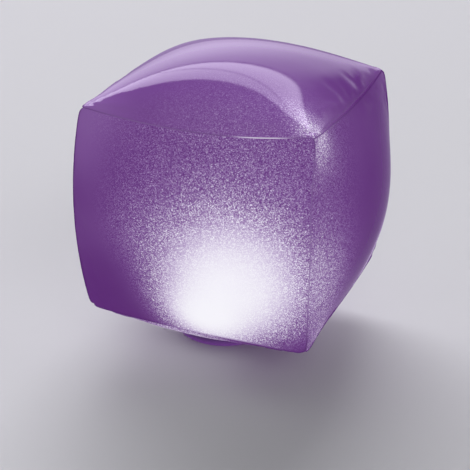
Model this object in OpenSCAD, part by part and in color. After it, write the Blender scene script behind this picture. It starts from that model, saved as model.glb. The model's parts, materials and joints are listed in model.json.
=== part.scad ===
// Inflatable cube light that floats: a film cube with a battery lamp pushed into its base.
// Millimetres, +Z up. The origin is under the middle of the cube, on the plane the lamp rests on.

/* [Cube] */
// Distance between neighbouring corners, across the cube
corner_span = 174.6; // [172:0.2:178]
// Height from the lower corners to the upper corners, as a share of the corner span
corner_rise = 0.934; // [0.90:0.002:0.96]
// Outward swell of each side wall, as a share of half the corner span
side_swell = 0.229; // [0.20:0.001:0.26]
// Upward swell of the top
top_swell = 0.489; // [0.42:0.001:0.54]
// Downward swell of the base
base_swell = 0.262; // [0.24:0.001:0.28]
// Outward bow of the upright seams
upright_bow = 0.074; // [0.05:0.001:0.10]
// Outward bow of the seams round the top
rim_bow = 0.019; // [0:0.001:0.05]
// Outward bow of the seams round the base
foot_bow = 0.007; // [0:0.001:0.03]
// Sag of the seams round the top
rim_sag = 0.071; // [0.03:0.001:0.09]
// Drop of the seams round the base
foot_drop = 0.035; // [0.02:0.001:0.05]
// Thickness of the film
film = 0.35; // [0.25:0.05:0.45]

/* [Lamp] */
// Sideways place of the lamp, from the middle of the cube
lamp_x = -12; // [-14:1:0]
// Height of the cube's lowest film above the resting plane
lamp_drop = 16.4; // [16.2:0.1:17]
// Diameter of the lamp's base flange
flange_d = 80; // [79:1:84]
// Thickness of the base flange
flange_h = 9; // [8.6:0.1:9.2]
// Rounding of the flange's edges
flange_round = 3.5; // [2:0.5:3.5]
// Diameter of the lamp's body above the flange
body_d = 67; // [66.6:0.1:67.2]
// Height of the lamp's body
body_h = 27; // [26.6:0.1:27.4]
// Height of the dome above the body
dome_h = 26; // [20:1:28]
// Wall of the body
wall = 2; // [1.8:0.1:2.1]
// Running gap between the body and the cube's sleeve
sleeve_gap = 0.3; // [0.2:0.05:0.4]

/* [Battery bay] */
// Diameter of a cell
cell_d = 10.5; // [10.3:0.1:10.5]
// Length of a cell with its nub
cell_l = 44.5; // [44:0.1:44.5]
// Distance between cells
cell_pitch = 11.4; // [11:0.1:11.4]
// Height of the cells' centre line
cell_z = 9.5; // [9.3:0.1:9.6]
// Length of the bay
bay_l = 49; // [48.8:0.1:49]
// Width of the bay
bay_w = 34.8; // [34:0.1:34.8]
// Length of the door
door_l = 64; // [63.5:0.1:64]
// Width of the door
door_w = 41; // [40.6:0.1:41]
// Thickness of the door
door_t = 2.3; // [2.2:0.1:2.4]

/* [Button and valve] */
// Distance from the lamp's centre to the button's centre
button_y = -26.8; // [-27:0.1:-26.6]
// Diameter of the button's cap
button_d = 8.4; // [7:0.2:8.4]
// Travel of the button
button_travel = 0.8; // [0.5:0.1:0.8]
// Diameter of the valve's flange
valve_d = 28; // [26:1:32]
// Outer diameter of the valve's stem
stem_d = 11.8; // [11.6:0.1:12]
// Bore of the valve's stem
stem_bore = 7.2; // [7:0.1:7.4]
// Length of the valve's stem
stem_l = 13.6; // [13.4:0.1:16]

/* [Hidden] */
$fn = 64;

// Colours
c_film = [0.52, 0.30, 0.66, 0.55];
c_clear = [0.80, 0.70, 0.90, 0.60];
c_base = [0.45, 0.25, 0.58];
c_white = [0.93, 0.92, 0.95];
c_seal = [0.25, 0.12, 0.32];
c_steel = [0.75, 0.76, 0.78];

// The cube's film: grid steps along a panel, rings round a hole and the curves' powers
steps = 20;
rings = 10;
side_power = 1.09;
cap_power = 0.6;
half = corner_span / 2;
// The ring in the base holds the film up by this much
ring_lift = 1;
mid_z = lamp_drop + half * (corner_rise + base_swell + 2 * foot_drop) - ring_lift;
middle = [0, 0, mid_z];
// A typical distance from the film to the cube's middle, and the play between a ring and its hole
film_reach = 1.2 * half;
hole_play = 0.02;
back_y = half * (1 + side_swell + upright_bow + (rim_bow + foot_bow) / 2);

// Sizes in the lamp. Each cut runs a little past the face that it opens.
gap = 0.1;
past = 1;
ring_z = 11.5;
sleeve_top = 27;
film_ring_d = 88;
sleeve_t = 1.8;
collar_t = 3;
pocket_t = 0.8;
pocket_gap = 1.4;
dome_z = body_h + 2;
dome_t = 1.2;
dome_inset = 1.4;
spigot_h = 1.5;
spigot_t = 1.3;
spigot_gap = 0.2;
dome_seal_h = 1.2;
inner_d = body_d - 2 * wall;
cell_play = 0.45;
deck_z = cell_z + cell_d / 2 + cell_play;
deck_t = 1.8;
board_z = 20;
board_t = 1.2;
board_d = inner_d - 2;
board_top = board_z + board_t;
emitter_w = 5;
emitter_h = 1.6;
emitter_pitch = 6.8;
chip_w = 4;
chip_l = 5;
chip_pitch = 1.27;
resistor_l = 3.2;
parts_r = 19.5;
door_z = 0.4;
door_gap = 0.2;
door_corner = 8;
groove_pitch = 2;
groove_w = 0.9;
groove_h = 0.4;
face_z = door_z + door_t + gap;
seal_w = 1.2;
seal_in = 0.6;
seal_h = 1;
seal_play = 0.1;
plate_t = 0.4;
plate_w = 9.4;
plate_h = 8.4;
tab_w = 3;
lead_d = 1.2;

// The door's two screws, and the board's three
door_screw_x = 29;
door_shank_d = 2.2;
door_head_d = 4.4;
door_head_h = 1.3;
door_post_d = 5.4;
door_post_h = 14;
board_screw_r = 24;
board_screw_at = [90, 210, 330];
board_shank_d = 1.8;
board_head_d = 3.6;
board_head_h = 1.2;
board_post_d = 5;
board_hole_h = 5;
hole_gap = 0.1;
slot_w = 0.6;

// The button, its tower and its switch
button_z = 0.8;
button_play = 0.4;
ledge_z = 3;
ledge_w = 1;
ledge_h = 1.2;
shelf_z = 5.8;
post_d = 4;
stem_z = 13.9;
tower_t = 1.4;
tower_h = 9;
tower_bore = button_d + 2.4;
switch_w = 6;
switch_h = 4.5;
switch_bore = 3.6;
plunger_d = 3.4;

// Depths in the valve, measured into the cube from the film's outermost point
valve_sink = 0.2;
valve_t = 0.8;
valve_tube_l = 12;
valve_tube_t = 1.2;
stem_play = 0.3;
mouth = 1.6;
seat = 7.0;
seat_t = 0.8;
seat_w = 1.3;
plug_play = 0.1;
plug_short = 0.6;
plug_lip = 1.1;
strap_t = 0.7;
strap_gap = 0.2;
flap_gap = 0.1;
flap_t = 0.6;
flap_play = 0.9;

// ---- the shape of the film ----

// A hill that is 1 in the middle and 0 at both edges
function arch(t, power) = pow(max(1 - t * t, 0), power);

// Sends a point of the plain cube, each coordinate from -1 to 1, to the swollen cube
function swollen(q) =
    let (ax = arch(q.x, 1), ay = arch(q.y, 1), az = arch(q.z, 1), up = (q.z + 1) / 2,
        level = mix(foot_bow, rim_bow, up),
        swell = q.z > 0 ? top_swell : base_swell,
        dip = q.z > 0 ? -rim_sag : foot_drop)
    middle + half * [
        q.x * (1 + side_swell * pow(ay * az, side_power) + level * ay + upright_bow * az),
        q.y * (1 + side_swell * pow(ax * az, side_power) + level * ax + upright_bow * az),
        q.z * (corner_rise + swell * pow(ax * ay, cap_power) + dip * (ax + ay))];

function mix(a, b, t) = a + (b - a) * t;

// Grid lines lie closer together near the seams, where the film curves most
function spaced(i) = sin(90 * (2 * i / steps - 1));

// Inner surface of the film under an outer point
function inside(p) = mix(p, middle, film / film_reach);

// Each panel's frame on the plain cube: its outward axis, then two axes along it
TOP = [[0, 0, 1], [1, 0, 0], [0, 1, 0]];
BOTTOM = [[0, 0, -1], [0, 1, 0], [1, 0, 0]];
FRONT = [[0, -1, 0], [1, 0, 0], [0, 0, 1]];
BACK = [[0, 1, 0], [0, 0, 1], [1, 0, 0]];
RIGHT = [[1, 0, 0], [0, 1, 0], [0, 0, 1]];
LEFT = [[-1, 0, 0], [0, 0, 1], [0, 1, 0]];

function on_panel(side, u, v) = side[0] + side[1] * u + side[2] * v;

// Two triangles between two neighbouring rows of points
function patch(a, b, c, d) = [[a, c, b], [a, d, c]];

// A whole panel of film: an outer and an inner grid, joined along the seams
module panel(side) {
    n = steps + 1;
    outer = [for (i = [0:steps], j = [0:steps]) swollen(on_panel(side, spaced(i), spaced(j)))];
    points = concat(outer, [for (p = outer) inside(p)]);
    m = n * n;
    faces = [
        for (i = [0:steps - 1], j = [0:steps - 1])
            let (a = i * n + j, b = a + n, c = b + 1, d = a + 1)
            each concat(patch(a, b, c, d), patch(m + d, m + c, m + b, m + a)),
        for (k = [0:steps - 1])
            let (w = k * n, e = w + steps, s = k, t = s + steps * n)
            each concat(
                patch(s, s + 1, m + s + 1, m + s), patch(t + 1, t, m + t, m + t + 1),
                patch(w + n, w, m + w, m + w + n), patch(e, e + n, m + e + n, m + e))];
    color(c_film) polyhedron(points, faces, convexity = 8);
}

// Point k of the walk round a panel's four seams, on the plain cube
function seam_point(side, k) =
    let (leg = floor(k / steps) % 4, t = spaced(k % steps))
    leg == 0 ? on_panel(side, t, -1) : leg == 1 ? on_panel(side, 1, t)
    : leg == 2 ? on_panel(side, -t, 1) : on_panel(side, -1, -t);

// A panel with a round hole: rings of points that run from the hole's edge to the seams.
// hub is the hole's centre in millimetres, and hub_q is the same place on the plain cube.
module holed_panel(side, hub, hub_q, hole_d) {
    count = 4 * steps;
    // The polygon's flats clear the round flange that fills the hole
    r = hole_d / 2 / cos(180 / count) + hole_play;
    // Directions from the hub, the first one towards the corner where the walk starts
    lie = [for (k = [0:count - 1]) let (a = 225 + 360 * k / count) side[1] * cos(a) + side[2] * sin(a)];
    outer = [for (j = [0:rings], k = [0:count - 1])
        let (s = sin(90 * j / rings), edge = seam_point(side, k), start = hub_q + lie[k] * r / half,
            rim = hub + lie[k] * r)
        swollen(mix(start, edge, s)) + (rim - swollen(start)) * pow(1 - s, 2)];
    under = [for (j = [0:rings], k = [0:count - 1])
        let (s = sin(90 * j / rings), p = outer[j * count + k])
        mix(p - side[0] * film, inside(p), s)];
    m = len(outer);
    faces = [
        for (j = [0:rings - 1], k = [0:count - 1])
            let (a = j * count + k, b = j * count + (k + 1) % count, c = b + count, d = a + count)
            each concat(patch(b, a, d, c), patch(m + a, m + b, m + c, m + d)),
        for (k = [0:count - 1])
            let (h = k, i = (k + 1) % count, o = rings * count + h, p = rings * count + i)
            each concat(patch(h, i, m + i, m + h), patch(p, o, m + o, m + p))];
    color(c_film) polyhedron(concat(outer, under), faces, convexity = 8);
}

module top_panel() panel(TOP);
module front_panel() panel(FRONT);
module left_panel() panel(LEFT);
module right_panel() panel(RIGHT);
module back_panel() holed_panel(BACK, [0, back_y, mid_z], BACK[0], valve_d);
module bottom_panel()
    holed_panel(BOTTOM, [lamp_x, 0, lamp_drop], BOTTOM[0] + [lamp_x / half, 0, 0], film_ring_d);

// ---- helpers for round parts ----

module at_lamp(z = 0) translate([lamp_x, 0, z]) children();

// A ring between two diameters and two heights
module ring(outer_d, inner_d, z0, z1) rotate_extrude() translate([inner_d / 2, z0])
    square([(outer_d - inner_d) / 2, z1 - z0]);

// A rod between two heights
module rod(d, z0, z1) translate([0, 0, z0]) cylinder(d = d, h = z1 - z0);

// A plate with rounded corners between two heights
module rounded_plate(l, w, r, z0, z1) translate([0, 0, z0]) linear_extrude(z1 - z0) rounded_outline(l, w, r);

module rounded_outline(l, w, r) {
    square([l - 2 * r, w], center = true);
    square([l, w - 2 * r], center = true);
    for (x = [-1, 1], y = [-1, 1])
        translate([x * (l / 2 - r), y * (w / 2 - r)]) circle(r);
}

// A block centred on X and Y between two heights
module block(l, w, z0, z1) translate([-l / 2, -w / 2, z0]) cube([l, w, z1 - z0]);

// Outline of a dome's outer surface: a flattened quarter circle from its rim to its top
dome_steps = 16;
function dome_arc(r, h, z) = [for (i = [0:dome_steps])
    let (a = 90 * i / dome_steps) [r * cos(a), z + h * sin(a)]];

module dome_shell(r, h, z, t) rotate_extrude()
    polygon(concat(dome_arc(r, h, z), [for (i = [dome_steps:-1:0]) dome_arc(r - t, h - t, z)[i]]));

// ---- lamp socket in the cube ----

module socket_ring() color(c_clear) at_lamp() {
    bore = body_d + 2 * sleeve_gap;
    rim_low = lamp_drop - 1.4;
    rim_high = lamp_drop + 0.6;
    ring(film_ring_d, bore, rim_low, rim_high);
    ring(bore + 2 * collar_t, bore, ring_z, rim_low);
    ring(bore + 2 * sleeve_t, bore, rim_high, sleeve_top);
}

module light_pocket() color(c_clear) at_lamp() {
    r = body_d / 2 + sleeve_gap + pocket_gap;
    spring_z = dome_z + 2;
    union() {
        ring(2 * r, 2 * (r - pocket_t), sleeve_top, spring_z);
        dome_shell(r, dome_h + 2 + pocket_gap, spring_z, pocket_t);
    }
}

// ---- inflation valve, pushed in ----

// Puts a part that was drawn along +Z on the valve's axis: z = 0 is the film, and -z is into the cube
module at_valve() translate([0, back_y, mid_z]) rotate([-90, 0, 0]) children();

module valve_flange() color(c_clear) at_valve() {
    bore = stem_d + 2 * stem_play;
    ring(valve_d, bore, -valve_sink - valve_t, -valve_sink);
    ring(bore + 2 * valve_tube_t, bore, -valve_tube_l, -valve_sink - valve_t);
}

module valve_stem() color(c_clear) at_valve() {
    ring(stem_d, stem_bore, -mouth - stem_l, -mouth);
    ring(stem_bore, stem_bore - 2 * seat_w, -seat - seat_t, -seat);
}

module valve_plug() color(c_clear) at_valve() {
    rod(stem_bore - 2 * plug_play, -seat + plug_short, -mouth);
    rod(stem_bore + 2 * plug_lip, -mouth, -valve_sink);
}

// A half loop round the plug's head that ties it to the stem
module valve_strap() color(c_clear) at_valve() intersection() {
    ring(stem_d, stem_bore + 2 * (plug_lip + strap_gap), -mouth, -mouth + strap_t);
    translate([-stem_d, -stem_d, -mouth]) cube([2 * stem_d, stem_d, 2 * strap_t]);
}

// A thin disc that hangs just behind the seat, small enough to swing inside the stem
module valve_flap() color(c_clear) at_valve() {
    z = -seat - seat_t - flap_gap;
    rod(stem_bore - 2 * flap_play, z - flap_t, z);
}

// ---- lamp body ----

module at_door_screws() for (s = [-1, 1]) translate([s * door_screw_x, 0]) children();

module at_board_screws() for (a = board_screw_at) rotate(a) translate([board_screw_r, 0]) children();

// The flat loop of the door's seal; play makes it narrower than its groove
module seal_outline(play) difference() {
    wide = 2 * (seal_in + seal_w) - play;
    narrow = 2 * seal_in + play;
    rounded_outline(bay_l + wide, bay_w + wide, 2 - play);
    rounded_outline(bay_l + narrow, bay_w + narrow, 1 + play);
}

// Outline of the housing's outside
module housing_outline() {
    r = flange_d / 2;
    k = flange_round;
    square([r - k, flange_h]);
    translate([0, k]) square([r, flange_h - 2 * k]);
    for (z = [k, flange_h - k]) translate([r - k, z]) circle(k);
    square([body_d / 2, body_h]);
}

// Solids left standing inside the housing: the bay's walls, the button's tower and the posts
module housing_inside() {
    block(bay_l + 2 * wall, bay_w + 2 * wall, 0, deck_z + deck_t);
    translate([0, button_y]) rod(tower_bore + 2 * tower_t, 0, tower_h);
    at_door_screws() rod(door_post_d, 0, door_post_h);
    at_board_screws() rod(board_post_d, 0, board_z);
}

module housing_cuts() {
    rounded_plate(door_l + 2 * door_gap, door_w + 2 * door_gap, door_corner, -past, face_z);
    block(bay_l, bay_w, 0, deck_z);
    translate([0, 0, face_z]) linear_extrude(seal_h) seal_outline(0);
    translate([0, button_y]) {
        rod(button_d + button_play, -past, ledge_z + past);
        rod(tower_bore, ledge_z, tower_h + past);
    }
    at_door_screws() rod(door_shank_d + hole_gap, 0, door_post_h - 2);
    at_board_screws() rod(board_shank_d + hole_gap, board_z - board_hole_h, board_z + past);
    for (s = [-1, 1]) translate([s * (bay_l - plate_t) / 2, 0])
        block(plate_t + 2 * hole_gap, tab_w + 2 * hole_gap, deck_z - past, deck_z + deck_t + past);
}

module lamp_housing() color(c_base) at_lamp() difference() {
    rotate_extrude() intersection() {
        housing_outline();
        square([flange_d, body_h]);
    }
    difference() {
        rod(inner_d, flange_round, body_h + past);
        housing_inside();
    }
    housing_cuts();
}

module lens_dome() color([0.98, 0.97, 1, 0.9]) at_lamp() {
    ring(body_d - 2 * spigot_gap, body_d - 2 * wall - 4, body_h, dome_z);
    ring(inner_d - 2 * spigot_gap, inner_d - 2 * (spigot_gap + spigot_t), body_h - spigot_h, body_h);
    dome_shell(body_d / 2 - dome_inset, dome_h, dome_z, dome_t);
}

// A flat ring between the dome's spigot and the reflector's rim
module dome_seal() color(c_seal) at_lamp() {
    top = body_h - spigot_h;
    ring(inner_d - 2 * spigot_gap, inner_d - 2 * spigot_t, top - dome_seal_h, top);
}

module base_gasket() color(c_seal) at_lamp() ring(body_d + 7, body_d + 2 * gap, flange_h, ring_z - gap);

module reflector() color("white") at_lamp() rotate_extrude() {
    t = 0.9;
    foot = 9;
    rim = inner_d / 2 - spigot_gap;
    low = body_h - spigot_h - dome_seal_h - t;
    polygon([[foot, board_top], [foot + 1.4, board_top], [foot + 1.4, board_top + t],
        [rim - 2.6, low], [rim, low], [rim, low + t], [rim - 2.8, low + t],
        [foot + 1, board_top + 2], [foot, board_top + 1.4]]);
}

// ---- electronics ----

module circuit_board() color([0.10, 0.42, 0.25]) at_lamp() difference() {
    rod(board_d, board_z, board_top);
    at_board_screws() rod(2.4, board_z - past, board_top + past);
}

// Four square surface-mounted emitters round the centre
module led_emitters() color([1, 0.98, 0.85]) at_lamp() for (x = [-1, 1], y = [-1, 1])
    translate([x * emitter_pitch / 2, y * emitter_pitch / 2]) difference() {
        block(emitter_w, emitter_w, board_top, board_top + emitter_h);
        rod(emitter_w - 1.4, board_top + emitter_h - 0.4, board_top + emitter_h + past);
    }

module controller_chip() color([0.12, 0.12, 0.13]) at_lamp() rotate(30) translate([parts_r, 0]) {
    block(chip_w, chip_l, board_top + 0.2, board_top + 1.3);
    for (s = [-1, 1], k = [-1.5:1:1.5]) translate([s * (chip_w + 1) / 2, k * chip_pitch])
        block(1, 0.5, board_top, board_top + 0.4);
}

module resistors() color([0.20, 0.20, 0.22]) at_lamp() rotate(150) for (k = [-1, 0, 1])
    translate([parts_r, k * resistor_l]) block(resistor_l, resistor_l / 2, board_top, board_top + 0.6);

module switch_body() color([0.16, 0.16, 0.17]) at_lamp() translate([0, button_y]) difference() {
    block(switch_w, switch_w, board_z - switch_h, board_z);
    rod(switch_bore, board_z - switch_h - past, board_z - 1);
}

module switch_plunger() color([0.92, 0.90, 0.86]) at_lamp() translate([0, button_y])
    rod(plunger_d, stem_z + 0.6, board_z - 2);

module mode_button() color(c_white) at_lamp() translate([0, button_y]) {
    rod(button_d, button_z, ledge_z);
    rod(button_d + 2 * ledge_w, ledge_z, ledge_z + ledge_h);
    rod(post_d, ledge_z + ledge_h, stem_z);
}

module button_seal() color(c_seal) at_lamp() translate([0, button_y])
    ring(tower_bore, post_d + 2 * gap, shelf_z, shelf_z + 1.2);

// ---- cells and contacts ----

// One cell along X; turned is 1 with its nub at +X and -1 with its nub at -X
module cell(turned) rotate([0, 90 * turned, 0]) {
    nub_h = 0.9;
    nub_d = 3.8;
    top = bay_l / 2 - plate_t;
    rod(cell_d, top - cell_l, top - nub_h);
    rod(nub_d, top - nub_h, top);
}

module battery(n) color([0.30, 0.32, 0.36]) at_lamp(cell_z)
    translate([0, (n - 2) * cell_pitch]) cell(n % 2 == 0 ? -1 : 1);
module battery_1() battery(1);
module battery_2() battery(2);
module battery_3() battery(3);

// A spring wound as a cone, from z = 0 to z = h
module cone_spring(h, r0, r1, wire, turns) {
    sides = 6;
    rings = turns * 10;
    points = [for (i = [0:rings], k = [0:sides - 1])
        let (t = i / rings, a = 360 * turns * t, r = mix(r0, r1, t), b = 360 * k / sides,
            c = r + wire / 2 * cos(b))
        [c * cos(a), c * sin(a), mix(wire / 2, h - wire / 2, t) + wire / 2 * sin(b)]];
    faces = concat([[for (k = [sides - 1:-1:0]) k]], [[for (k = [0:sides - 1]) rings * sides + k]],
        [for (i = [0:rings - 1], k = [0:sides - 1])
            let (a = i * sides + k, b = i * sides + (k + 1) % sides)
            each patch(b, a, a + sides, b + sides)]);
    polyhedron(points, faces, convexity = 6);
}

module contact_springs() color(c_steel) at_lamp(cell_z) for (n = [1:3])
    translate([0, (n - 2) * cell_pitch]) rotate([0, n % 2 == 0 ? -90 : 90, 0])
        translate([0, 0, -bay_l / 2 + plate_t]) cone_spring(bay_l - 2 * plate_t - cell_l, 3.4, 2.2, 0.6, 3);

module contact_plates() color(c_steel) at_lamp() for (s = [-1, 1])
    translate([s * (bay_l - plate_t) / 2, 0]) {
        for (n = [-1, 0, 1]) translate([0, n * cell_pitch])
            block(plate_t, plate_w, cell_z - plate_h / 2, cell_z + plate_h / 2);
        block(plate_t, tab_w, cell_z + plate_h / 2, deck_z + deck_t + 0.8);
    }

// One short wire at each end, from the contact's tab up to the board
module battery_leads() at_lamp() for (s = [-1, 1])
    color(s > 0 ? "red" : "black") translate([s * (bay_l / 2 - plate_t - lead_d / 2), 0])
        rod(lead_d, deck_z + deck_t, board_z);

// ---- battery door ----

module battery_door() color(c_base) at_lamp() difference() {
    rounded_plate(door_l, door_w, door_corner, door_z, door_z + door_t);
    at_door_screws() {
        rod(door_shank_d + 2 * hole_gap, 0, door_z + door_t + past);
        rod(door_head_d + 4 * hole_gap, 0, door_z + door_head_h + hole_gap);
    }
    // Grooves for a fingertip, shorter towards the ends
    for (k = [-4:4]) translate([0, k * groove_pitch])
        block(9 * groove_pitch - abs(k) * groove_pitch, groove_w, door_z - past, door_z + groove_h);
}

module door_gasket() color(c_seal) at_lamp(door_z + door_t) linear_extrude(seal_h) seal_outline(seal_play);

// A pan-head screw that points up from z = 0, with a cross slot in its head
module screw(shank_d, shank_l, head_d, head_h) {
    difference() {
        rod(head_d, 0, head_h);
        block(head_d * 0.6, slot_w, -past, head_h / 2);
        block(slot_w, head_d * 0.6, -past, head_h / 2);
    }
    rod(shank_d, head_h, head_h + shank_l);
}

module door_screws() color(c_steel) at_lamp(door_z + hole_gap) at_door_screws()
    screw(door_shank_d, 9, door_head_d, door_head_h);

module board_screws() color(c_steel) at_lamp(board_top + board_head_h) at_board_screws()
    mirror([0, 0, 1]) screw(board_shank_d, 5, board_head_d, board_head_h);

top_panel();
front_panel();
back_panel();
left_panel();
right_panel();
bottom_panel();
socket_ring();
light_pocket();
valve_flange();
valve_stem();
valve_plug();
valve_strap();
valve_flap();
lamp_housing();
lens_dome();
dome_seal();
base_gasket();
reflector();
circuit_board();
led_emitters();
controller_chip();
resistors();
switch_body();
switch_plunger();
mode_button();
button_seal();
battery_1();
battery_2();
battery_3();
contact_springs();
contact_plates();
battery_leads();
battery_door();
door_gasket();
door_screws();
board_screws();
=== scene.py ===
"""Floating cube light: an inflated cube of frosted glitter film with a battery lamp in its base."""
import json, math
from itertools import product
import bpy, bmesh
from mathutils import Matrix, Vector


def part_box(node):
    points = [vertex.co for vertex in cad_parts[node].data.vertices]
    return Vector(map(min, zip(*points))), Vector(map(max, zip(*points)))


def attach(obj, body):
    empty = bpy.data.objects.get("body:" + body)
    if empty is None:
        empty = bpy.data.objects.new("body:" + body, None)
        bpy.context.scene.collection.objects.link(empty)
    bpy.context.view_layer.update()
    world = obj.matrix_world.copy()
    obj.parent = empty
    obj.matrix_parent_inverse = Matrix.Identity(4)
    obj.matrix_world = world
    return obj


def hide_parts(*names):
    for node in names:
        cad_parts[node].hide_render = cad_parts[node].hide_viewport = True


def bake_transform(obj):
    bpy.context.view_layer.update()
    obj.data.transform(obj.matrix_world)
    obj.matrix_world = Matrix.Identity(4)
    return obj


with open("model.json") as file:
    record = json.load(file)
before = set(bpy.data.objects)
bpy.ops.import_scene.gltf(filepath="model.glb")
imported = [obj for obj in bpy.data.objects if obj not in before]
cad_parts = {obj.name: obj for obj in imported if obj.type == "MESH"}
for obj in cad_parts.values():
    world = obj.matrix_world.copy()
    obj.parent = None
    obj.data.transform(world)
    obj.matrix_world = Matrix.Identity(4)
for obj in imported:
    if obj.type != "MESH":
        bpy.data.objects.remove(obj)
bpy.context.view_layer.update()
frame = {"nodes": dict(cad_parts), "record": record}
MM = 0.001

# ---- sizes shared with the CAD model, in metres ----

HALF = 174.6 / 2 * MM          # half the distance between neighbouring corners
RISE = 0.934                   # corner height, as a share of HALF
SIDE_SWELL, TOP_SWELL, BASE_SWELL = 0.229, 0.489, 0.262
UPRIGHT_BOW, RIM_BOW, FOOT_BOW = 0.074, 0.019, 0.007
RIM_SAG, FOOT_DROP = 0.071, 0.035
SIDE_POWER, CAP_POWER = 1.09, 0.6
FILM = 0.35 * MM
CORNER_CUT, CORNER_SPREAD = 3.0 * MM, 2.2 * MM

# Two corners sit a little off the even shape, and the film round each follows
PULLED_CORNERS = [((1, -1, 1), (5.0 * MM, 0, 2.0 * MM)), ((1, -1, -1), (2.5 * MM, 0, -2.5 * MM))]
PULL_REACH = 32 * MM


def radius_of(node):
    """Half the width of a round CAD node."""
    low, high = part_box(node)
    return (high.x - low.x) / 2


TOP_REACH = HALF * (RISE + TOP_SWELL - 2 * RIM_SAG)
MIDDLE = Vector((0, 0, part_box("top_panel")[1].z - TOP_REACH))
LAMP = sum(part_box("socket_ring"), Vector()) / 2
LAMP.z = 0
RING_R, RING_Z = radius_of("socket_ring"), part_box("bottom_panel")[0].z
VALVE_R, BACK_Y = radius_of("valve_flange"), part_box("back_panel")[1].y


# ---- the shape of the film ----

def arch(t, power):
    """A hill that is 1 in the middle and 0 at both edges."""
    return max(1 - t * t, 0) ** power


def mix(a, b, t):
    return a + (b - a) * t


def swollen(q):
    """Sends a point of the plain cube, each coordinate from -1 to 1, to the blown-up cube."""
    ax, ay, az = (arch(t, 1) for t in q)
    level = mix(FOOT_BOW, RIM_BOW, (q[2] + 1) / 2)
    swell, dip = (TOP_SWELL, -RIM_SAG) if q[2] > 0 else (BASE_SWELL, FOOT_DROP)
    reach = HALF * Vector((
        q[0] * (1 + SIDE_SWELL * (ay * az) ** SIDE_POWER + level * ay + UPRIGHT_BOW * az),
        q[1] * (1 + SIDE_SWELL * (ax * az) ** SIDE_POWER + level * ax + UPRIGHT_BOW * az),
        q[2] * (RISE + swell * (ax * ay) ** CAP_POWER + dip * (ax + ay))))
    # The corners are blunt, where three seams meet
    from_corner = HALF * math.sqrt(sum((1 - abs(t)) ** 2 for t in q))
    place = MIDDLE + reach * (1 - CORNER_CUT / reach.length * math.exp(-from_corner / CORNER_SPREAD))
    for corner, pull in PULLED_CORNERS:
        far = HALF * (Vector(q) - Vector(corner)).length
        place += Vector(pull) * math.exp(-(far / PULL_REACH) ** 2)
    return place


# Each panel's outward axis and two axes along it
SIDES = {
    "top": ((0, 0, 1), (1, 0, 0), (0, 1, 0)),
    "bottom": ((0, 0, -1), (0, 1, 0), (1, 0, 0)),
    "front": ((0, -1, 0), (1, 0, 0), (0, 0, 1)),
    "back": ((0, 1, 0), (0, 0, 1), (1, 0, 0)),
    "right": ((1, 0, 0), (0, 1, 0), (0, 0, 1)),
    "left": ((-1, 0, 0), (0, 0, 1), (0, 1, 0)),
}
SIDES = {name: tuple(Vector(a) for a in axes) for name, axes in SIDES.items()}
STEPS = 64                     # faces along a panel's side
RINGS = 28                     # rings of faces from a hole's edge to the seams
CROWDING = 0.6                 # how much the grid lines crowd towards the seams, from 0 to 1


def spaced(i):
    """Grid line i, from -1 to 1, a little closer together near the seams."""
    t = 2 * i / STEPS - 1
    return mix(t, math.sin(math.pi / 2 * t), CROWDING)


FIRST_CORNER = math.radians(225)     # where the walk round a panel's seams starts


def seam_point(axes, k):
    """Point k of the walk round a panel's four seams, on the plain cube."""
    out, across, up = axes
    leg, t = (k // STEPS) % 4, spaced(k % STEPS)
    u, v = ((t, -1), (1, t), (-t, 1), (-1, -t))[leg]
    return out + across * u + up * v


def whole_grid(axes):
    """Points and faces of a panel with no hole, and the points that its seams hold."""
    out, across, up = axes
    points = [swollen(out + across * spaced(i) + up * spaced(j))
              for i in range(STEPS + 1) for j in range(STEPS + 1)]
    n = STEPS + 1
    faces = [(i * n + j, (i + 1) * n + j, (i + 1) * n + j + 1, i * n + j + 1)
             for i in range(STEPS) for j in range(STEPS)]
    held = [i * n + j for i in range(n) for j in range(n) if {i, j} & {0, STEPS}]
    return points, faces, held


def holed_grid(axes, hub, hub_q, radius):
    """The same for a panel with a round hole: rings that run from the hole's edge to the seams.

    hub is the hole's centre, and hub_q is the same place on the plain cube.
    """
    out, across, up = axes
    count = 4 * STEPS
    points = []
    for j in range(RINGS + 1):
        s = math.sin(math.pi / 2 * j / RINGS)
        for k in range(count):
            a = FIRST_CORNER + 2 * math.pi * k / count
            lie = across * math.cos(a) + up * math.sin(a)
            start = hub_q + lie * (radius / HALF)
            lift = (hub + lie * radius) - swollen(start)
            points.append(swollen(start.lerp(seam_point(axes, k), s)) + lift * (1 - s) ** 2)
    faces = []
    for j in range(RINGS):
        for k in range(count):
            here, after = j * count + k, j * count + (k + 1) % count
            faces.append((here, here + count, after + count, after))
    held = list(range(count)) + list(range(RINGS * count, (RINGS + 1) * count))
    return points, faces, held


def panel_grid(side):
    axes = SIDES[side]
    if side == "bottom":
        under_lamp = axes[0] + Vector((LAMP.x / HALF, 0, 0))
        return holed_grid(axes, Vector((LAMP.x, LAMP.y, RING_Z)), under_lamp, RING_R)
    if side == "back":
        return holed_grid(axes, Vector((0, BACK_Y, MIDDLE.z)), axes[0], VALVE_R)
    return whole_grid(axes)


# ---- building meshes ----

def new_object(name, points, faces, smooth=True):
    mesh = bpy.data.meshes.new(name)
    mesh.from_pydata([tuple(p) for p in points], [], faces)
    mesh.validate()
    mesh.update()
    if smooth:
        mesh.polygons.foreach_set("use_smooth", [True] * len(mesh.polygons))
    obj = bpy.data.objects.new(name, mesh)
    bpy.context.scene.collection.objects.link(obj)
    return obj


def apply_modifiers(obj):
    """Bakes an object's modifiers into its mesh."""
    depsgraph = bpy.context.evaluated_depsgraph_get()
    mesh = bpy.data.meshes.new_from_object(obj.evaluated_get(depsgraph))
    obj.modifiers.clear()
    obj.data = mesh


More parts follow.
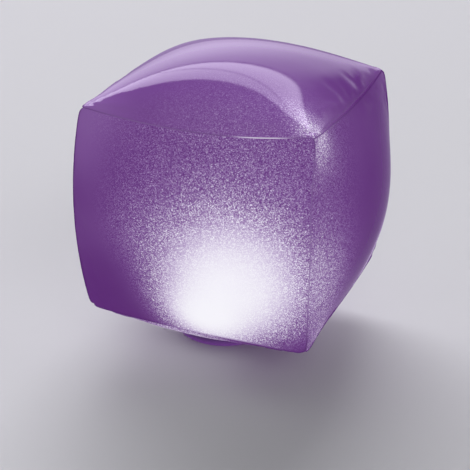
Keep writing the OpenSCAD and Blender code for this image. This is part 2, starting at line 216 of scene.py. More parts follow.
def thicken(obj, thickness):
    """Gives a skin its thickness, inwards."""
    m = obj.modifiers.new("thickness", "SOLIDIFY")
    m.thickness = thickness
    m.offset = -1
    m.use_even_offset = False
    apply_modifiers(obj)


# ---- the film, pumped up as cloth ----

SPARE_FILM = 0.010             # extra cloth, so that it gathers beside the seams
PUMP_FRAMES = 16
GATHER_LIMIT = 0.5 * MM        # the furthest that a gather may lift the film
GATHER_REACH = 11 * MM         # how fast the gathers fade away from a seam
SMOOTH_PASSES = 24


class Skin:
    """All six panels as one welded mesh, with each panel's own list of its points."""

    def __init__(self):
        self.points, self.faces, self.held = [], [], set()
        self.owned, self.grids = {}, {}
        known = {}
        for side in SIDES:
            points, faces, held = panel_grid(side)
            ids = []
            for p in points:
                key = tuple(round(c / MM, 3) for c in p)
                if key not in known:
                    known[key] = len(self.points)
                    self.points.append(p)
                ids.append(known[key])
            self.owned[side], self.grids[side] = ids, faces
            self.faces += [tuple(ids[v] for v in f) for f in faces]
            self.held |= {ids[v] for v in held}

    def neighbours(self):
        near = [set() for _ in self.points]
        for f in self.faces:
            for a, b in zip(f, f[1:] + f[:1]):
                near[a].add(b)
                near[b].add(a)
        return near

    def pump(self):
        """Blows the film up as cloth held at its seams, and keeps the gathers that this makes."""
        obj = new_object("skin", self.points, self.faces)
        pins = obj.vertex_groups.new(name="pins")
        pins.add(sorted(self.held), 1, "REPLACE")
        cloth = obj.modifiers.new("cloth", "CLOTH").settings
        cloth.quality = 6
        cloth.mass = 0.05
        cloth.tension_stiffness = cloth.compression_stiffness = 30
        cloth.shear_stiffness = 15
        cloth.bending_stiffness = 0.02
        cloth.air_damping = 4
        cloth.shrink_min = -SPARE_FILM
        cloth.use_pressure = True
        cloth.uniform_pressure_force = 4
        cloth.vertex_group_mass = pins.name
        cloth.effector_weights.gravity = 0
        for frame_number in range(1, PUMP_FRAMES + 1):
            bpy.context.scene.frame_set(frame_number)
        pumped = obj.evaluated_get(bpy.context.evaluated_depsgraph_get()).data
        moves = [v.co - p for v, p in zip(pumped.vertices, self.points)]
        bpy.context.scene.frame_set(1)
        bpy.data.objects.remove(obj)
        self.points = [p + d for p, d in zip(self.points, self.fine_part(moves))]

    def fine_part(self, moves):
        """Each move less the smooth swell round it, so that only creases and gathers are left."""
        near = self.neighbours()
        smooth = list(moves)
        for _ in range(SMOOTH_PASSES):
            last = smooth
            smooth = [d if i in self.held else sum((last[n] for n in near[i]), d) / (len(near[i]) + 1)
                      for i, d in enumerate(last)]
        return [self.tamed(d - s, p) for d, s, p in zip(moves, smooth, self.points)]

    def tamed(self, move, place):
        """A gather's move, held back far from the seams and never above the limit."""
        span = sorted(abs(c) / HALF for c in place - MIDDLE)
        inland = max(1 - span[1], 0) * HALF
        move = move * math.exp(-inland / GATHER_REACH)
        return move * min(1, GATHER_LIMIT / max(move.length, 1e-9))

    def panel(self, side):
        points = [self.points[i] for i in self.owned[side]]
        obj = new_object("film_" + side, points, self.grids[side])
        thicken(obj, FILM)
        return obj


# ---- material helpers ----

def straight(c):
    """One 0-255 screen value as the linear value that shaders use."""
    c /= 255
    return c / 12.92 if c <= 0.04045 else ((c + 0.055) / 1.055) ** 2.4


def linear(r, g, b):
    """A colour given as 0-255 screen values, as a shader's colour."""
    return straight(r), straight(g), straight(b), 1


class Nodes:
    """Short calls that add nodes to a tree."""

    def __init__(self, owner):
        owner.use_nodes = True
        self.tree = owner.node_tree

    def add(self, kind, **settings):
        node = self.tree.nodes.new(kind)
        for key, value in settings.items():
            setattr(node, key, value)
        return node

    def plug(self, socket, value):
        if isinstance(value, bpy.types.NodeSocket):
            self.tree.links.new(value, socket)
        else:
            socket.default_value = value

    def math(self, operation, *values, clamp=False):
        node = self.add("ShaderNodeMath", operation=operation, use_clamp=clamp)
        for socket, value in zip(node.inputs, values):
            self.plug(socket, value)
        return node.outputs[0]

    def fit(self, value, low, high, to_low, to_high, **settings):
        """Moves a value from one range to another, and holds it there."""
        node = self.add("ShaderNodeMapRange", **settings)
        for socket, v in zip(node.inputs, (value, low, high, to_low, to_high)):
            self.plug(socket, v)
        return node.outputs[0]


class Paint(Nodes):
    """A material, whose patterns are fixed to the object."""

    def __init__(self, name, color, roughness, **sockets):
        self.mat = bpy.data.materials.new(name)
        super().__init__(self.mat)
        self.shader = self.tree.nodes["Principled BSDF"]
        self.set("Base Color", color)
        self.set("Roughness", roughness)
        for key, value in sockets.items():
            self.set(key.replace("_", " "), value)
        self.place = self.add("ShaderNodeTexCoord").outputs["Object"]

    def set(self, socket, value):
        self.shader.inputs[socket].default_value = value

    def feed(self, socket, output):
        self.tree.links.new(output, self.shader.inputs[socket])

    def distance(self, centre):
        """How far a place on the object is from a point."""
        node = self.add("ShaderNodeVectorMath", operation="DISTANCE")
        self.plug(node.inputs[0], self.place)
        self.plug(node.inputs[1], tuple(centre))
        return node.outputs["Value"]

    def height(self):
        """How high a place on the object is above the floor."""
        node = self.add("ShaderNodeSeparateXYZ")
        self.plug(node.inputs[0], self.place)
        return node.outputs["Z"]

    def noise(self, scale, detail=2.0, rough=0.5):
        node = self.add("ShaderNodeTexNoise")
        node.inputs["Scale"].default_value = scale
        node.inputs["Detail"].default_value = detail
        node.inputs["Roughness"].default_value = rough
        self.plug(node.inputs["Vector"], self.place)
        return node.outputs["Fac"]

    def flakes(self, scale):
        """Small cells, each with its own random value from 0 to 1."""
        node = self.add("ShaderNodeTexVoronoi")
        node.inputs["Scale"].default_value = scale
        self.plug(node.inputs["Vector"], self.place)
        split = self.add("ShaderNodeSeparateColor")
        self.plug(split.inputs[0], node.outputs["Color"])
        return split.outputs[0]

    def ramp(self, value, *stops):
        """A colour that runs through stops, each a place and a colour."""
        node = self.add("ShaderNodeValToRGB")
        band = node.color_ramp
        while len(band.elements) < len(stops):
            band.elements.new(0.5)
        for element, (place, color) in zip(band.elements, stops):
            element.position = place
            element.color = color
        self.plug(node.inputs[0], value)
        return node.outputs["Color"]

    def bump(self, height, strength, distance):
        node = self.add("ShaderNodeBump")
        node.inputs["Strength"].default_value = strength
        node.inputs["Distance"].default_value = distance
        self.plug(node.inputs["Height"], height)
        self.feed("Normal", node.outputs[0])

    def glow(self, amount, strength, *stops):
        """Makes the surface shine: amount picks a colour from the stops."""
        self.feed("Emission Color", self.ramp(amount, *stops))
        self.set("Emission Strength", strength)


# ---- the film: frosted and glittering, with the lamp's light from inside painted on it ----

# Painted soft lights, the lamp's light seen through the film, in millimetres from the cube's middle: place,
# reach, strength, power; a negative strength paints shade
WALL_GLOWS = [
    ((13, -88, -60), 23, 3.6, 1.8),
    ((34, -72, -24), 42, 6.6, 2.2),
    ((50, -134, 100), 120, 0.23, 3.5),
    ((-34, -106, 2), 32, 0.14, 2.0),
    ((66, -90, -86), 24, -0.12, 2.0),
    ((-14, 84, -58), 27, 3.2, 1.8),
    ((-26, 72, -30), 42, 3.6, 2.2),
    ((-88, 8, -58), 27, 2.8, 1.8),
    ((-74, 0, -30), 40, 3.0, 2.2),
    ((-80, 80, 60), 90, 0.16, 3.0),
]
# A painted bright patch of light in the corner between the top and the right wall; the front wall doesn't
# share it
TOP_GLOWS = WALL_GLOWS + [
    ((86, -77, 88), 9, 0.80, 1.7),
    ((76, -68, 94), 8, 0.36, 1.8),
    ((64, -60, 96), 8, 0.14, 2.0),
]
# The right wall shares the painted corner patch, with more painted glows low at its front and back
RIGHT_GLOWS = WALL_GLOWS + [
    ((92, -76, 78), 14, 0.50, 1.8),
    ((90, -64, -84), 22, 0.30, 2.0),
    ((96, -68, 62), 20, 0.06, 2.2),
    ((92, 40, -60), 21, 1.5, 2.0),
    ((88, 40, -48), 27, 0.9, 2.4),
]
# Faint painted light along the front left edge and at two top corners
PAINTED_HAZE = [
    ((-88, -96, 44), 24, 0.10, 2.2),
    ((-88, -100, -6), 28, 0.06, 2.2),
    ((-82, -88, 84), 34, 0.18, 2.2),
    ((86, 84, 84), 24, 0.12, 2.0),
]
# Painted light on the seams: a painted glint along the front rim, then two places where painted light lifts
# them so that they barely show
SEAM_GLINTS = [
    ((54, -90, 80), 19, 0.9, 4.0),
    ((-52, -92, 80), 44, 0.12, 3.0),
    ((92, -92, 40), 38, 0.10, 3.0),
]
BASE_GLOWS = [
    ((-12, -66, -104), 40, 0.95, 2.4),
    ((-12, 30, -110), 62, 1.2, 2.6),
]
GRAIN, FINE_GRAIN = 1 / (0.54 * MM), 1 / (0.34 * MM)     # two sizes of glitter flake
SPARK_POWER, SPARK_MEAN = 2.4, 0.243                     # most flakes are dim and a few are bright
SPARKLE = 5.9                                            # how strongly the flakes stand out
DARK_FILM, LIT_FILM = (88, 39, 112), (246, 244, 252)     # screen colours, unlit and fully lit
MID_BLUE = 6                                             # extra blue where the film is half lit


def glow_amount(paint, glows):
    """How much painted light a list of glows gives a place, from 0 to 1, such as the lamp's light through the
    film.
    """
    total = 0.0
    for (x, y, z), reach, strength, power in glows:
        away = paint.distance(MIDDLE + Vector((x, y, z)) * MM)
        fall = paint.math("POWER", paint.math("DIVIDE", away, reach * MM), power)
        light = paint.math("MULTIPLY", paint.math("EXPONENT", paint.math("MULTIPLY", fall, -1.0)), strength)
        total = paint.math("ADD", light, total)
    return paint.math("SUBTRACT", 1.0, paint.math("EXPONENT", paint.math("MULTIPLY", total, -1.0)))


def lit_stops(count, scattered):
    """A ramp's stops from dark film to lit film, each less the room light that the surface scatters."""
    stops = []
    for i in range(count):
        t = i / (count - 1)
        r, g, b = (mix(dark, lit, t) for dark, lit in zip(DARK_FILM, LIT_FILM))
        shown = linear(r, g, b + MID_BLUE * 4 * t * (1 - t))
        stops.append((t, tuple(max(c - d, 0) for c, d in zip(shown, scattered)) + (1,)))
    return stops


def film_paint(name, glows, quiet=0.035):
    """Frosted film. Below the quiet amount of light its glitter doesn't show."""
    p = Paint(name, color=linear(66, 26, 92), roughness=0.07, IOR=1.2, Specular_Tint=(0.88, 0.74, 1, 1))
    amount = glow_amount(p, glows)
    # Broad unevenness of the frosting
    cloud = p.fit(p.noise(14, 3), 0.3, 0.7, 0.0, 0.03)
    # Painted light: the lamp's glow, the frosting's unevenness and the painted haze, added
    base = p.math("ADD", amount, p.math("ADD", cloud, glow_amount(p, PAINTED_HAZE)))
    # Glitter: a random value for each flake, strongest where the film is half lit
    coarse, fine = p.flakes(GRAIN), p.flakes(FINE_GRAIN)
    flake = p.math("ADD", p.math("MULTIPLY", coarse, 0.55), p.math("MULTIPLY", fine, 0.45))
    spark = p.math("SUBTRACT", p.math("POWER", flake, SPARK_POWER), SPARK_MEAN)
    lively = p.fit(amount, quiet, 0.48 + quiet, 0.0, 0.5)
    room = p.math("MULTIPLY", lively, p.math("SUBTRACT", 1.0, base, clamp=True), clamp=True)
    speckle = p.math("MULTIPLY", p.math("MULTIPLY", spark, room), SPARKLE)
    lit = p.math("ADD", base, speckle, clamp=True)
    # Painted light: the film's glow and its glitter, as emission
    p.glow(lit, 1.0, *lit_stops(6, (0.030, 0.007, 0.060)))
    p.bump(p.noise(900, 2), 0.05, 0.2 * MM)
    return p.mat


def seam_paint():
    """The welded seams: the same film, doubled and pressed, so darker and duller, with the lamp's painted
    light and a painted glint in front.
    """
    p = Paint("weld", color=linear(50, 14, 74), roughness=0.5, IOR=1.08)
    amount = p.math("MULTIPLY", glow_amount(p, WALL_GLOWS), 0.92)
    amount = p.math("ADD", amount, glow_amount(p, SEAM_GLINTS), clamp=True)
    p.glow(amount, 0.85, *lit_stops(4, (0.02, 0.004, 0.04)))
    p.bump(p.noise(1400, 1), 0.2, 0.1 * MM)
    return p.mat


def moulded_paint(name, color, roughness=0.38, grain=0.25, **sockets):
    """Moulded plastic with a fine sparked texture and slightly uneven colour."""
    p = Paint(name, color=color, roughness=roughness, **sockets)
    light = tuple(min(c * 1.12, 1) for c in color[:3]) + (1,)
    deep = tuple(c * 0.86 for c in color[:3]) + (1,)
    p.feed("Base Color", p.ramp(p.noise(60, 4), (0.3, deep), (0.7, light)))
    p.feed("Roughness", p.fit(p.noise(400, 3), 0.3, 0.7, roughness - 0.07, roughness + 0.07))
    p.bump(p.noise(2600, 2), grain, 0.05 * MM)
    return p.mat


def vinyl_paint():
    """Soft clear vinyl: glossy, with fine flow marks, and the film's glow shows through it."""
    p = Paint("clear_vinyl", color=linear(90, 62, 118), roughness=0.2)
    flow = p.fit(p.noise(900, 5, 0.7), 0.3, 0.7, 0.0, 1.0)
    p.feed("Base Color", p.ramp(flow, (0.0, linear(66, 40, 92)), (1.0, linear(98, 72, 128))))
    through = p.math("MULTIPLY", glow_amount(p, WALL_GLOWS), 0.6)
    through = p.math("ADD", through, p.math("MULTIPLY", flow, 0.08))
    p.glow(through, 0.75, *lit_stops(4, (0.02, 0.01, 0.03)))
    p.feed("Roughness", p.fit(p.noise(500, 3), 0.3, 0.7, 0.14, 0.28))
    p.bump(p.noise(1300, 2), 0.12, 0.1 * MM)
    return p.mat


def lamp_paint():
    """Translucent lilac plastic. Painted light round its lower rim fades upwards, so that the part under the
    cube looks shaded.
    """
    p = Paint("lamp_plastic", color=linear(112, 76, 136), roughness=0.34)
    p.feed("Base Color", p.ramp(p.noise(60, 4), (0.3, linear(102, 68, 126)), (0.7, linear(120, 84, 146))))
    # Painted light at the bottom edge, fading to none by 7 mm up, so the part higher up looks shaded
    low = p.fit(p.height(), 0.5 * MM, 7 * MM, 1.0, 0.0)
    p.glow(low, 0.5, (0.0, linear(18, 4, 28)), (1.0, linear(132, 72, 164)))
    p.feed("Roughness", p.fit(p.noise(400, 3), 0.3, 0.7, 0.27, 0.41))
    p.bump(p.noise(2600, 2), 0.25, 0.05 * MM)
    return p.mat


def lens_paint():
    """The frosted dome, lit from behind: brightest over the emitters."""
    p = Paint("frosted_dome", color=linear(150, 138, 166), roughness=0.45)
    away = p.distance((LAMP.x, LAMP.y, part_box("lens_dome")[1].z))
    soft = p.math("MULTIPLY", p.fit(p.noise(700, 2), 0.3, 0.7, 0.94, 1.06), away)
    p.glow(p.fit(soft, 0, 45 * MM, 0, 1), 0.7,
           (0, linear(246, 240, 250)), (0.45, linear(206, 184, 226)), (1, linear(132, 92, 166)))
    p.bump(p.noise(1800, 2), 0.2, 0.1 * MM)
    return p.mat


PAINTS = {
    "wall_film": film_paint("wall_film", WALL_GLOWS),
    "top_film": film_paint("top_film", TOP_GLOWS, quiet=0.10),
    "right_film": film_paint("right_film", RIGHT_GLOWS),
    "base_film": film_paint("base_film", BASE_GLOWS),
    "weld": seam_paint(),
    "clear_pvc": vinyl_paint(),
    "lamp_plastic": lamp_paint(),
    "lens": lens_paint(),
    # The seals' own dark rubber; at the lamp's base the dark gasket also stands for the shade in the gap
    # under the film
    "seal_rubber": moulded_paint("seal_rubber", linear(52, 22, 66), 0.6, 0.4),
    "white_plastic": moulded_paint("white_plastic", linear(226, 222, 230), 0.4),
    "board": moulded_paint("solder_mask", linear(28, 92, 56), 0.3, 0.3),
    "emitter": moulded_paint("phosphor", linear(250, 236, 170), 0.3, 0.1),
    "black_plastic": moulded_paint("black_plastic", linear(26, 26, 28), 0.45),
    "cell_jacket": moulded_paint("cell_jacket", linear(74, 80, 92), 0.28, 0.05),
    "spring_steel": moulded_paint("nickel_steel", linear(190, 190, 194), 0.25, 0.1, Metallic=1.0),
    "wire_jacket": moulded_paint("wire_jacket", linear(150, 24, 24), 0.45, 0.1),
}


def dress(obj, paint):
    obj.data.materials.clear()
    obj.data.materials.append(PAINTS[paint])


def finish_piece(obj, paint, body=None):
    """Gives a piece its material, and the body that it rides on if it rides on one."""
    dress(obj, paint)
    if body:
        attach(obj, body)


# ---- camera ----

VIEW_AZ, VIEW_EL = math.radians(23.15), math.radians(25.14)
VIEW_D = 10.78 * HALF          # from the cube's middle
VIEW_SIDE, VIEW_UP = -0.033 * HALF, -0.443 * HALF
LENS, SENSOR = 91.8, 36        # millimetres


def make_camera():
    level = math.cos(VIEW_EL)
    back = Vector((math.sin(VIEW_AZ) * level, -math.cos(VIEW_AZ) * level, math.sin(VIEW_EL)))
    right = Vector((0, 0, 1)).cross(back).normalized()
    up = back.cross(right)
    data = bpy.data.cameras.new("camera")
    data.lens = LENS
    data.sensor_width = SENSOR
    data.clip_start, data.clip_end = 0.05, 50
    cam = bpy.data.objects.new("camera", data)
    place = MIDDLE + back * VIEW_D + right * VIEW_SIDE + up * VIEW_UP
    cam.matrix_world = Matrix.Translation(place) @ Matrix((right, up, back)).transposed().to_4x4()
    bpy.context.scene.collection.objects.link(cam)
    bpy.context.scene.camera = cam


make_camera()


# ---- the cube ----

FILM_PAINTS = {"bottom": "base_film", "top": "top_film", "right": "right_film"}


def make_cube():
    skin = Skin()
    skin.pump()
    for side in SIDES:
        panel = skin.panel(side)
        finish_piece(panel, FILM_PAINTS.get(side, "wall_film"), "cube")
        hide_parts(side + "_panel")
        declare_sheet(side)


def arc_length(points):
    return sum((b - a).length for a, b in zip(points, points[1:]))


def declare_sheet(side):
    """Measures a panel's width and length along the middle; nothing more is done with them."""
    out, across, up = SIDES[side]
    width = arc_length([swollen(out + across * spaced(i)) for i in range(STEPS + 1)])
    length = arc_length([swollen(out + up * spaced(i)) for i in range(STEPS + 1)])


make_cube()

# ---- the welded seams ----

SEAM_R = 0.45 * MM
SEAM_SIDES = 8


def seam_bead(fixed):
    """A thin welded bead along one of the cube's edges. fixed has two coordinates at -1 or 1 and a None."""

    def at(i):
        """The place of grid line i on the edge."""
        i = min(max(i, 0), STEPS)
        return swollen([spaced(i) if c is None else c for c in fixed])

    points, faces = [], []
    for i in range(STEPS + 1):
        along = (at(i + 1) - at(i - 1)).normalized()
        out = Vector([0 if c is None else c for c in fixed]).normalized()
        out = (out - along * out.dot(along)).normalized()
        side = along.cross(out)
        for k in range(SEAM_SIDES):
            a = 2 * math.pi * k / SEAM_SIDES
            points.append(at(i) + (out * math.cos(a) + side * math.sin(a)) * SEAM_R)
    n = SEAM_SIDES
    for i in range(STEPS):
        for k in range(n):
            a, b = i * n + k, i * n + (k + 1) % n
            faces.append((a, b, b + n, a + n))
    faces.append(tuple(range(n - 1, -1, -1)))
    faces.append(tuple(STEPS * n + k for k in range(n)))
    return points, faces


def make_seams():
    points, faces = [], []
    for free, a, b in product(range(3), (-1, 1), (-1, 1)):
        fixed = [a, b]
        fixed.insert(free, None)
        more, rim = seam_bead(fixed)
        base = len(points)
        points += more
        faces += [tuple(v + base for v in f) for f in rim]
    seams = new_object("weld_seams", points, faces)
    finish_piece(seams, "weld", "cube")


make_seams()

# ---- the inflation valve ----

VALVE = Vector((0, BACK_Y, MIDDLE.z))
VALVE_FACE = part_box("valve_flange")[1].y
PLUG_END, STEM_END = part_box("valve_plug")[1].y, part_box("valve_stem")[1].y
STEM_R, PLUG_R = radius_of("valve_stem"), radius_of("valve_plug")
OUT, UP = Vector((0, 1, 0)), Vector((0, 0, 1))     # the valve's axis and the lamp's


def lathe(name, profile, centre, axis, turns=64):
    """A closed profile of (radius, height) points turned round an axis."""
    side = axis.orthogonal().normalized()
    other = axis.cross(side)
    points, faces = [], []
    n = len(profile)
    for i in range(turns):
        a = 2 * math.pi * i / turns
        lie = side * math.cos(a) + other * math.sin(a)
        points += [centre + lie * r + axis * h for r, h in profile]
        for k in range(n):
            b, c = i * n, (i + 1) % turns * n
            faces.append((b + k, c + k, c + (k + 1) % n, b + (k + 1) % n))
    return new_object(name, points, faces)


def quarter(r, h, soft, start, steps=4):
    """A quarter circle of (radius, height) points, from a start angle in degrees."""
    angles = [math.radians(start + 90 * i / steps) for i in range(steps + 1)]
    return [(r + soft * math.cos(a), h + soft * math.sin(a)) for a in angles]


def rounded(r_in, r_out, low, high, soft):
    """A ring's profile whose upper corners are rounded. All sizes are in millimetres."""
    r_in, r_out, low, high, soft = (c * MM for c in (r_in, r_out, low, high, soft))
    top = quarter(r_out - soft, high - soft, soft, 0) + quarter(r_in + soft, high - soft, soft, 90)
    return [(r_in, low), (r_out, low)] + top


def add_mesh(obj, points, faces):
    """Joins more geometry onto an object's mesh."""
    bm = bmesh.new()
    bm.from_mesh(obj.data)
    verts = [bm.verts.new(p) for p in points]
    for f in faces:
        bm.faces.new([verts[i] for i in f]).smooth = False
    bm.to_mesh(obj.data)
    bm.free()


def bar(centre, along, wide, high, size):
    """The points and faces of a small block, with three directions and its sizes in millimetres."""
    x, y, z = (v * (s * MM / 2) for v, s in zip((along, wide, high), size))
    points = [centre + x * a + y * b + z * c for a, b, c in product((-1, 1), repeat=3)]
    faces = [(0, 1, 3, 2), (4, 6, 7, 5), (0, 4, 5, 1), (2, 3, 7, 6), (0, 2, 6, 4), (1, 5, 7, 3)]
    return points, faces


def ring_of_bars(obj, centre, axis, radius, count, size):
    """Adds bars that point outwards, evenly round an axis."""
    side = axis.orthogonal().normalized()
    other = axis.cross(side)
    for i in range(count):
        a = 2 * math.pi * i / count
        lie = side * math.cos(a) + other * math.sin(a)
        add_mesh(obj, *bar(centre + lie * radius, lie, axis.cross(lie), axis, size))


def make_valve_weld():
    """The pressed weld between the valve's flange and the film: two rounded rings with ribs between them."""
    base = Vector((VALVE.x, VALVE_FACE, VALVE.z))
    ring = lathe("valve_weld", rounded(8.0, 8.7, -0.1, 0.28, 0.2), base, OUT)
    ring_of_bars(ring, base + OUT * 0.02 * MM, OUT, 10.6 * MM, 48, (2.9, 0.45, 0.34))
    finish_piece(ring, "clear_pvc", "cube")
    lip = lathe("valve_lip", rounded(12.5, VALVE_R / MM - 0.3, -0.1, 0.24, 0.2), base, OUT)
    finish_piece(lip, "clear_pvc", "cube")


def make_plug_grip():
    """What fingers hold on the plug: a raised rim and a ribbed edge."""
    top = Vector((VALVE.x, PLUG_END, VALVE.z))
    radius = PLUG_R / MM
    grip = lathe("plug_grip", rounded(radius - 1.1, radius - 0.25, -0.2, 0.45, 0.3), top, OUT)
    ring_of_bars(grip, top - OUT * 0.5 * MM, OUT, PLUG_R, 20, (0.4, 0.5, 0.8))
    finish_piece(grip, "clear_pvc", "valve_plug")


def make_strap():
    """The tie that keeps the plug on the stem: half a turn round the plug's head, one end on each."""
    y = STEM_END + 0.35 * MM
    radius, wide, thick = PLUG_R + 0.75 * MM, 0.9 * MM, 0.6 * MM
    pull_in, bend = 0.6 * MM, 0.8     # the last part of the strap, from this share on, bends in to the plug
    points, faces = [], []
    steps = 32
    for i in range(steps + 1):
        a = math.pi + math.pi * i / steps
        lie = Vector((math.cos(a), 0, math.sin(a)))
        reach = radius - pull_in * max(0, (i / steps - bend) / (1 - bend))
        for r, h in ((-wide, -thick), (wide, -thick), (wide, thick), (-wide, thick)):
            points.append(Vector((VALVE.x, y, VALVE.z)) + lie * (reach + r / 2) + OUT * (h / 2))
    for i in range(steps):
        for k in range(4):
            a, b = i * 4 + k, i * 4 + (k + 1) % 4
            faces.append((a, a + 4, b + 4, b))
    faces += [(0, 1, 2, 3), tuple(steps * 4 + k for k in (3, 2, 1, 0))]
    strap = new_object("plug_strap", points, faces, smooth=False)
    bevel = strap.modifiers.new("bevel", "BEVEL")
    bevel.width = 0.15 * MM
    bevel.limit_method = "ANGLE"
    apply_modifiers(strap)
    finish_piece(strap, "clear_pvc")
    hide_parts("valve_strap")
    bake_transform(strap)


def make_valve_fold():
    """The thin wall that lets the stem be pushed in: it joins the flange's bore to the stem's mouth."""
    near, far = VALVE_FACE - 0.9 * MM, STEM_END - 0.2 * MM
    near_r, far_r, thick = STEM_R + 0.18 * MM, STEM_R - 0.05 * MM, 0.15 * MM
    steps = 8
    loop = [(mix(near_r, far_r, i / steps), mix(near, far, i / steps)) for i in range(steps + 1)]
    loop += [(r + thick, y) for r, y in reversed(loop)]
    fold = lathe("valve_fold", [(r, y - VALVE.y) for r, y in loop], VALVE, OUT, turns=48)
    finish_piece(fold, "clear_pvc")
    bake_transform(fold)


make_valve_weld()
make_plug_grip()
make_strap()
make_valve_fold()


# ---- the lamp ----

BODY_R = radius_of("lens_dome") + 0.2 * MM
SOLDER_JOINTS = 8
SOLDER_R, TRACE_R = 15.5 * MM, 11.9 * MM     # how far out the joints and the middles of the traces sit


def make_body_ribs():
    """Fine moulded ribs up the lamp's body, which grip the cube's soft sleeve."""
    low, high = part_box("base_gasket")[1].z + 0.8 * MM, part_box("lamp_housing")[1].z - 1.5 * MM
    radius = BODY_R / MM
    rim = rounded(radius - 0.4, radius + 0.18, -0.6, 0, 0.12)
    ribs = lathe("body_ribs", rim, LAMP + UP * high, UP, turns=128)
    middle = LAMP + UP * (low + high) / 2
    ring_of_bars(ribs, middle, UP, BODY_R - 0.1 * MM, 40, (0.6, 1.1, (high - low) / MM))
    finish_piece(ribs, "lamp_plastic", "lamp")


def make_solder_joints():
    """A ring of solder joints on the circuit board, each with a raised trace that runs inwards."""
    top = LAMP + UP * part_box("circuit_board")[1].z
    profile = [(r * MM, h * MM) for r, h in ((0.02, 0.5), (0.5, 0.38), (0.9, 0.02), (0.02, 0.02))]
    joints = new_object("solder_joints", [], [])
    for i in range(SOLDER_JOINTS):
        a = 2 * math.pi * i / SOLDER_JOINTS + 0.2
        lie = Vector((math.cos(a), math.sin(a), 0))
        drop = lathe("drop", profile, top + lie * SOLDER_R, UP, turns=12)
        add_mesh(joints, [v.co for v in drop.data.vertices], [tuple(f.vertices) for f in drop.data.polygons])
        bpy.data.objects.remove(drop)
        add_mesh(joints, *bar(top + lie * TRACE_R + UP * 0.06 * MM, lie, UP.cross(lie), UP, (6, 0.6, 0.08)))
    finish_piece(joints, "spring_steel", "lamp")


make_body_ribs()
make_solder_joints()

# ---- studio ----

FLOOR_REACH = 40.0
# The floor's colour, and the darker colour painted into its reflections
PALE_FLOOR, PAINTED_FLOOR_REFLECTION = (0.52, 0.55, 0.50, 1), (0.17, 0.17, 0.19, 1)
SOFTBOX_POWER, FILL_POWER, BACKDROP_POWER, LOW_POWER, ROOM_POWER = 8.0, 3.5, 2.9, 0.75, 0.22
LIGHT_TINT = (1.06, 1.0, 1.16)
BACKDROP_COLOR = (0.60, 0.60, 0.63, 1)
CORD_SLANT, CORD_SHADE = 0.41, 0.45


def make_floor():
    mesh = bpy.data.meshes.new("floor")
    r = FLOOR_REACH
    mesh.from_pydata([(-r, -r, 0), (r, -r, 0), (r, r, 0), (-r, r, 0)], [], [(0, 1, 2, 3)])
    floor = bpy.data.objects.new("floor", mesh)
    bpy.context.scene.collection.objects.link(floor)
    paint = Paint("floor", color=PALE_FLOOR, roughness=0.8)
    # Painted reflection: the object's gloss sees the floor darker than the camera sees it
    mirrored = paint.add("ShaderNodeLightPath").outputs["Is Glossy Ray"]
    paint.feed("Base Color", paint.ramp(mirrored, (0.0, PALE_FLOOR), (1.0, PAINTED_FLOOR_REFLECTION)))
    floor.data.materials.append(paint.mat)


class Sky(Nodes):
    """The studio round the object, as nodes that work on the direction of a ray."""

    def __init__(self):
        world = bpy.data.worlds.new("studio")
        bpy.context.scene.world = world
        super().__init__(world)
        split = self.add("ShaderNodeSeparateXYZ")
        self.plug(split.inputs[0], self.add("ShaderNodeTexCoord").outputs["Generated"])
        self.x, self.y, self.z = split.outputs

    def step(self, value, place, soft):
        """0 below place and 1 above it, over a soft edge; a negative soft turns it round."""
        ends = (0, 1) if soft > 0 else (1, 0)
        return self.fit(value, place - abs(soft), place + abs(soft), *ends, interpolation_type="SMOOTHSTEP")

    def overlap(self, *steps):
        """Where all the steps are 1."""
        total = steps[0]
        for part in steps[1:]:
            total = self.math("MULTIPLY", total, part)
        return total

    def sum(self, *parts):
        total = parts[0]
        for part in parts[1:]:
            total = self.math("ADD", total, part)
        return total


def overhead_light(sky, across, away):
    """A wide softbox overhead, behind the cube and to the left, with a cord hung across it at a slant."""
    box = sky.overlap(sky.step(away, 0.62, 0.02), sky.step(away, 1.31, -0.03),
                      sky.step(across, 0.06, -0.10), sky.step(across, -2.4, 0.3))
    slant = sky.math("ADD", away, sky.math("MULTIPLY", across, CORD_SLANT))
    cord = sky.overlap(sky.step(slant, 0.71, 0.012), sky.step(slant, 0.75, -0.012),
                       sky.step(across, -1.1, 0.1))
    return sky.math("MULTIPLY", box, sky.math("SUBTRACT", 1.0, sky.math("MULTIPLY", cord, CORD_SHADE)))


def backdrop_light(sky, away):
    """A lit backdrop behind the softbox, brightest at the left, which fades at the floor and at the right."""
    lean = sky.math("ADD", sky.x, sky.math("MULTIPLY", sky.z, 0.6))
    screen = sky.overlap(sky.step(away, 1.37, 0.03), sky.step(lean, 0.32, -0.14),
                         sky.step(sky.z, 0.20, 0.20))
    left = sky.math("ADD", 0.6, sky.math("MULTIPLY", sky.step(sky.x, -0.30, -0.22), 0.4))
    return sky.math("MULTIPLY", screen, left)


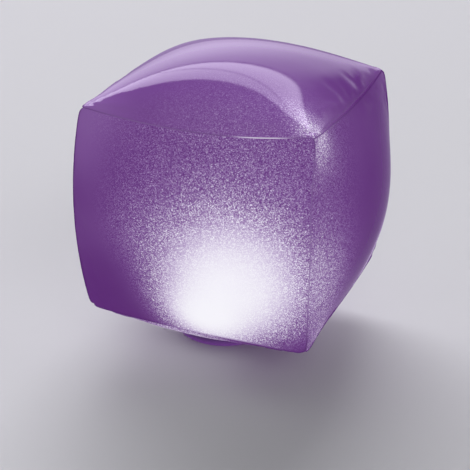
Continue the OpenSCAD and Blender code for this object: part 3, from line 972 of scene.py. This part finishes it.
def low_light(sky):
    """A weak glow low down behind the cube."""
    return sky.overlap(sky.step(sky.z, 0.24, -0.10), sky.step(sky.y, 0.2, 0.4),
                       sky.step(sky.x, 0.30, -0.15))


def fill_light(sky):
    """A second softbox over the camera's side, which only the views from behind reflect."""
    return sky.overlap(sky.step(sky.z, 0.47, 0.03), sky.step(sky.z, 0.72, -0.03),
                       sky.step(sky.y, -0.20, -0.06),
                       sky.step(sky.x, 0.14, 0.05), sky.step(sky.x, 0.72, -0.08))


def camera_sees(sky, plain, lit):
    """The camera itself sees a plain backdrop. The lights light the object and show in its gloss."""
    swap = sky.add("ShaderNodeMix", data_type="RGBA")
    sockets = {socket.identifier: socket for socket in swap.inputs}
    sky.plug(sockets["Factor_Float"], sky.add("ShaderNodeLightPath").outputs["Is Camera Ray"])
    sky.plug(sockets["A_Color"], lit)
    sky.plug(sockets["B_Color"], plain)
    return next(socket for socket in swap.outputs if socket.identifier == "Result_Color")


def make_sky():
    sky = Sky()
    above = sky.math("MAXIMUM", sky.z, 0.001)
    across, away = sky.math("DIVIDE", sky.x, above), sky.math("DIVIDE", sky.y, above)
    light = sky.sum(ROOM_POWER, sky.math("MULTIPLY", overhead_light(sky, across, away), SOFTBOX_POWER),
                    sky.math("MULTIPLY", fill_light(sky), FILL_POWER),
                    sky.math("MULTIPLY", backdrop_light(sky, away), BACKDROP_POWER),
                    sky.math("MULTIPLY", low_light(sky), LOW_POWER))
    tint = sky.add("ShaderNodeCombineColor")
    for socket, share in zip(tint.inputs, LIGHT_TINT):
        sky.plug(socket, sky.math("MULTIPLY", light, share))
    seen = camera_sees(sky, BACKDROP_COLOR, tint.outputs[0])
    sky.plug(sky.tree.nodes["Background"].inputs["Color"], seen)


make_floor()
make_sky()
bpy.context.scene.view_settings.view_transform = "Standard"

# ---- every other CAD node keeps its shape and gets the material of its slot ----

SLOTS = {part["node"]: part["material_slot"] for part in frame["record"]["subparts"]}
for node in frame["nodes"].values():
    slot = SLOTS[node.name]
    dress(node, "wall_film" if slot == "film" else slot)
